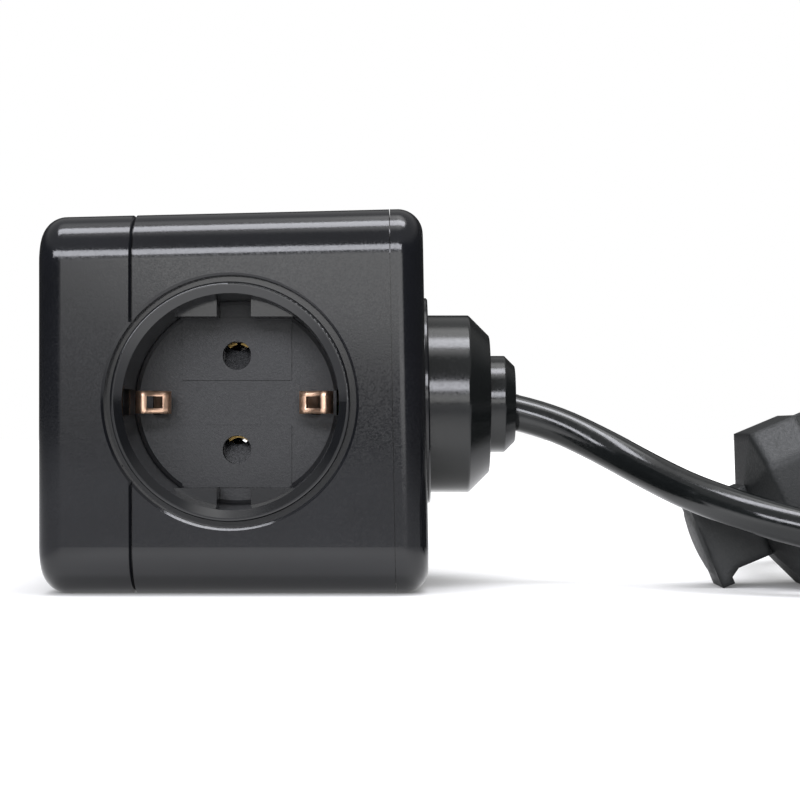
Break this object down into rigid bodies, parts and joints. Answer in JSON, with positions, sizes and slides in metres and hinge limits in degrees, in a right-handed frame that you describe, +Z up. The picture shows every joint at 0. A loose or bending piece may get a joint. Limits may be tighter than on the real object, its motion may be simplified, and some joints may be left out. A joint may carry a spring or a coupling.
{
  "type": "extension lead",
  "caption": "Cube-shaped extension lead with earthed, shuttered sockets on its faces, a cord through a stepped outlet and an angled plug.",
  "frame": {"origin": "under the middle of the cube and its cord outlet, on the surface that they stand on", "axes": "+Z up, +X towards the cord outlet, -Y out of the front socket"},
  "size_m": [0.282, 0.1527, 0.0759],
  "materials": {
    "block_plastic": "plain moulding",
    "blue_insulation": "plain",
    "brown_insulation": "plain",
    "cap_plastic": "moulded, fine even grain",
    "clip_bronze": "bright bronze strip",
    "contact_brass": "plain brass",
    "cord_rubber": "smooth satin sheath",
    "earth_insulation": "plain, green with a yellow stripe",
    "outlet_plastic": "moulded, satin",
    "pin_metal": "nickel plated",
    "plug_rubber": "fine matt texture",
    "screw_steel": "zinc plated",
    "shell_plastic": "moulded, fine even grain",
    "shutter_plastic": "moulded, matt",
    "socket_plastic": "moulded, smooth satin",
    "spring_steel": "bright wire"
  },
  "bodies": {
    "housing": {"clamp_screws": "screw_steel", "contact_block": "block_plastic", "cord_clamp": "block_plastic", "cord_coil": "cord_rubber", "cord_end": "cord_rubber", "cord_gland": "outlet_plastic", "cord_lead": "cord_rubber", "cord_tail": "cord_rubber", "earth_clips_back": "clip_bronze", "earth_clips_bottom": "clip_bronze", "earth_clips_front": "clip_bronze", "earth_clips_left": "clip_bronze", "earth_clips_top": "clip_bronze", "earth_core": "earth_insulation", "earth_link": "contact_brass", "housing_screws": "screw_steel", "left_cap": "cap_plastic", "live_contact_front_back": "contact_brass", "live_contact_left": "contact_brass", "live_contact_top_bottom": "contact_brass", "live_core": "brown_insulation", "live_link": "contact_brass", "middle_shell": "shell_plastic", "neutral_contact_front_back": "contact_brass", "neutral_contact_left": "contact_brass", "neutral_contact_top_bottom": "contact_brass", "neutral_core": "blue_insulation", "neutral_link": "contact_brass", "outlet_collar": "outlet_plastic", "plug_earth_strips": "pin_metal", "plug_grip": "plug_rubber", "plug_head": "plug_rubber", "plug_pins": "pin_metal", "plug_strain_relief": "plug_rubber", "right_cap": "cap_plastic", "shutter_spring_back": "spring_steel", "shutter_spring_bottom": "spring_steel", "shutter_spring_front": "spring_steel", "shutter_spring_left": "spring_steel", "shutter_spring_top": "spring_steel", "socket_well_back": "socket_plastic", "socket_well_bottom": "socket_plastic", "socket_well_front": "socket_plastic", "socket_well_left": "socket_plastic", "socket_well_top": "socket_plastic"},
    "front_shutter": {"shutter_front": "shutter_plastic"},
    "back_shutter": {"shutter_back": "shutter_plastic"},
    "top_shutter": {"shutter_top": "shutter_plastic"},
    "bottom_shutter": {"shutter_bottom": "shutter_plastic"},
    "left_shutter": {"shutter_left": "shutter_plastic"}
  },
  "joints": [
    {"name": "front_shutter_slide", "type": "slide", "parent": "housing", "child": "front_shutter", "axis": [0, 0, -1], "range_m": [0, 0.004], "stiffness_N_per_m": 100, "springref_m": -0.002, "deforming": ["shutter_spring_front"]},
    {"name": "back_shutter_slide", "type": "slide", "parent": "housing", "child": "back_shutter", "axis": [0, 0, -1], "range_m": [0, 0.004], "stiffness_N_per_m": 100, "springref_m": -0.002, "deforming": ["shutter_spring_back"]},
    {"name": "top_shutter_slide", "type": "slide", "parent": "housing", "child": "top_shutter", "axis": [-1, 0, 0], "range_m": [0, 0.004], "stiffness_N_per_m": 100, "springref_m": -0.002, "deforming": ["shutter_spring_top"]},
    {"name": "bottom_shutter_slide", "type": "slide", "parent": "housing", "child": "bottom_shutter", "axis": [-1, 0, 0], "range_m": [0, 0.004], "stiffness_N_per_m": 100, "springref_m": -0.002, "deforming": ["shutter_spring_bottom"]},
    {"name": "left_shutter_slide", "type": "slide", "parent": "housing", "child": "left_shutter", "axis": [0, -1, 0], "range_m": [0, 0.004], "stiffness_N_per_m": 100, "springref_m": -0.002, "deforming": ["shutter_spring_left"]}
  ]
}
